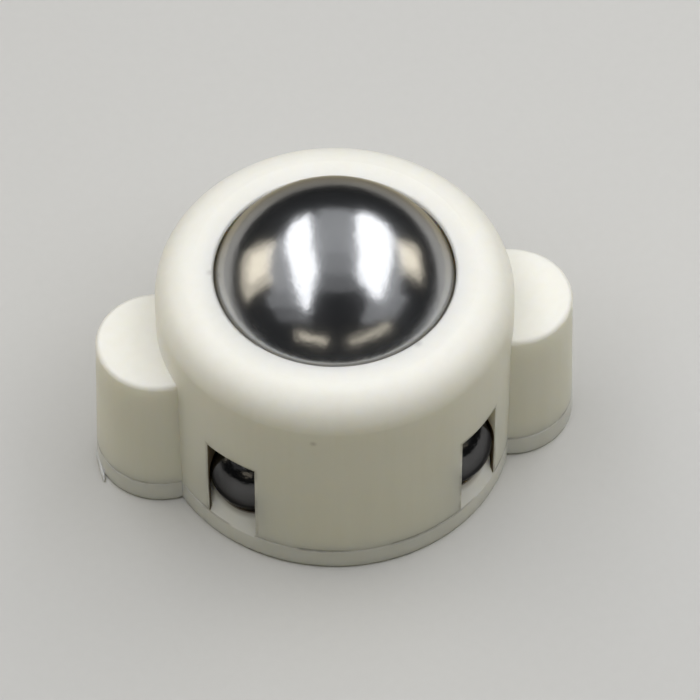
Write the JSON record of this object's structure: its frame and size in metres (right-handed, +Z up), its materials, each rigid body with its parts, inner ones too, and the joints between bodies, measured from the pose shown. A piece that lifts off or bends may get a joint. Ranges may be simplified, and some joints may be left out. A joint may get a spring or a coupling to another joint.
{
  "type": "ball castor",
  "caption": "Small ball castor: a polished steel ball that rolls on smaller steel balls in a round white plastic housing with two screw ears and a flat mounting base.",
  "frame": {"origin": "middle of the flat mounting face, on the main ball's upright axis", "axes": "+X through the right screw ear, +Z up from the mounting face through the main ball, -Y towards the pictured front"},
  "size_m": [0.0238, 0.0174, 0.0159],
  "materials": {
    "white_plastic": "satin",
    "polished_steel": "polished"
  },
  "bodies": {
    "castor_body": {"housing": "white_plastic", "base_plate": "white_plastic"},
    "main_ball": {"main_ball": "polished_steel"},
    "support_ball_front_left": {"support_ball_front_left": "polished_steel"},
    "support_ball_front_right": {"support_ball_front_right": "polished_steel"},
    "support_ball_rear_left": {"support_ball_rear_left": "polished_steel"},
    "support_ball_rear_right": {"support_ball_rear_right": "polished_steel"}
  },
  "joints": [
    {"name": "main_ball_roll", "type": "hinge", "parent": "castor_body", "child": "main_ball", "pos_m": [0, 0, 0.00955], "axis": [1, 0, 0], "continuous": true},
    {"name": "support_roll_front_left", "type": "hinge", "parent": "castor_body", "child": "support_ball_front_left", "pos_m": [-0.00472, -0.00472, 0.00407], "axis": [0.8375, -0.3565, -0.4141], "continuous": true},
    {"name": "support_roll_front_right", "type": "hinge", "parent": "castor_body", "child": "support_ball_front_right", "pos_m": [0.00472, -0.00472, 0.00407], "axis": [0.8375, 0.3565, 0.4141], "continuous": true},
    {"name": "support_roll_rear_left", "type": "hinge", "parent": "castor_body", "child": "support_ball_rear_left", "pos_m": [-0.00472, 0.00472, 0.00407], "axis": [0.8375, 0.3565, -0.4141], "continuous": true},
    {"name": "support_roll_rear_right", "type": "hinge", "parent": "castor_body", "child": "support_ball_rear_right", "pos_m": [0.00472, 0.00472, 0.00407], "axis": [0.8375, -0.3565, 0.4141], "continuous": true}
  ],
  "couplings": [
    {"joint": "support_roll_front_left", "follows": "main_ball_roll", "ratio": -2.3637},
    {"joint": "support_roll_front_right", "follows": "main_ball_roll", "ratio": -2.3637},
    {"joint": "support_roll_rear_left", "follows": "main_ball_roll", "ratio": -2.3637},
    {"joint": "support_roll_rear_right", "follows": "main_ball_roll", "ratio": -2.3637}
  ]
}
